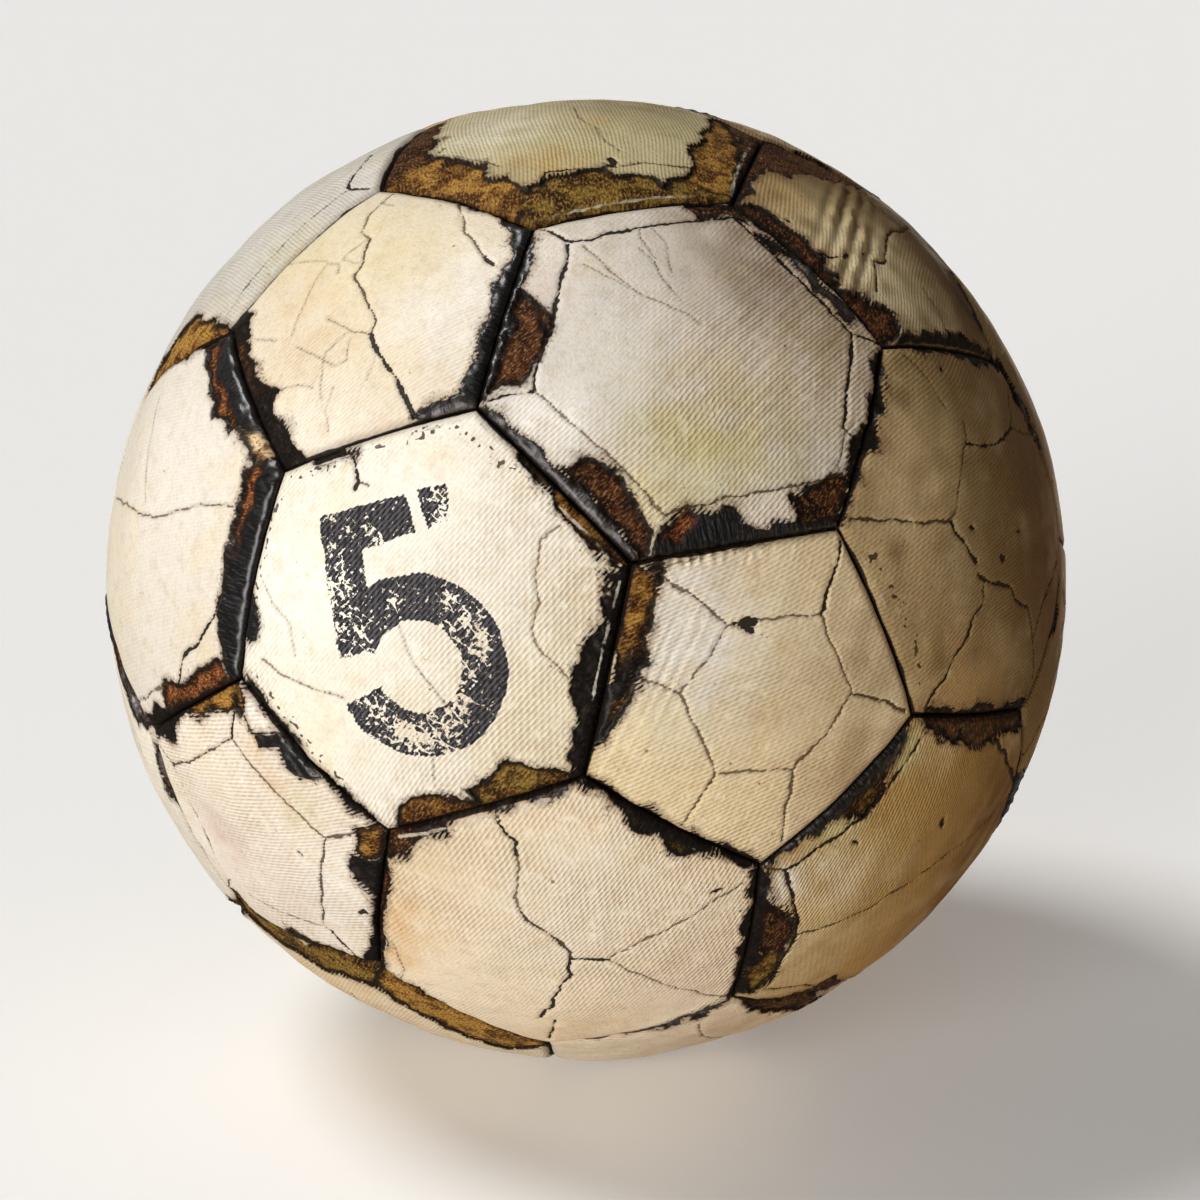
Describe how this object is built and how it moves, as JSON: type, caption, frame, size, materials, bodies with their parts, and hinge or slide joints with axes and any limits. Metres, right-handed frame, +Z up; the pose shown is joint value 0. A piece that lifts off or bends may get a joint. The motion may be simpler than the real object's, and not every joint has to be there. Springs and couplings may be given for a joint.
{
  "type": "worn football",
  "caption": "Round sewn leather football for ball games, old and worn, with cracked and peeling panels, open seams and an inflatable bladder inside.",
  "frame": {"origin": "centre of the ball", "axes": "+Z up as the ball lies, -Y towards the side that shows the numbered panel, +X to the right seen from that side"},
  "size_m": [0.22, 0.2196, 0.2198],
  "materials": {
    "panel_leather": "cracked and peeling cream coating over brown hide",
    "sewing_thread": "waxed and grimy",
    "bladder_rubber": "matt",
    "valve_rubber": "satin"
  },
  "bodies": {
    "root": {"bladder": "bladder_rubber", "hexagon_panel_01": "panel_leather", "hexagon_panel_02": "panel_leather", "hexagon_panel_03": "panel_leather", "hexagon_panel_04": "panel_leather", "hexagon_panel_05": "panel_leather", "hexagon_panel_06": "panel_leather", "hexagon_panel_07": "panel_leather", "hexagon_panel_08": "panel_leather", "hexagon_panel_09": "panel_leather", "hexagon_panel_10": "panel_leather", "hexagon_panel_11": "panel_leather", "hexagon_panel_12": "panel_leather", "hexagon_panel_13": "panel_leather", "hexagon_panel_14": "panel_leather", "hexagon_panel_15": "panel_leather", "hexagon_panel_16": "panel_leather", "hexagon_panel_17": "panel_leather", "hexagon_panel_18": "panel_leather", "number_panel": "panel_leather", "pentagon_panel_01": "panel_leather", "pentagon_panel_02": "panel_leather", "pentagon_panel_03": "panel_leather", "pentagon_panel_04": "panel_leather", "pentagon_panel_05": "panel_leather", "pentagon_panel_06": "panel_leather", "pentagon_panel_07": "panel_leather", "pentagon_panel_08": "panel_leather", "pentagon_panel_09": "panel_leather", "pentagon_panel_10": "panel_leather", "pentagon_panel_11": "panel_leather", "pentagon_panel_12": "panel_leather", "stitching_thread": "sewing_thread", "valve_collar": "valve_rubber", "valve_panel": "panel_leather", "valve_stem": "valve_rubber"}
  },
  "joints": []
}
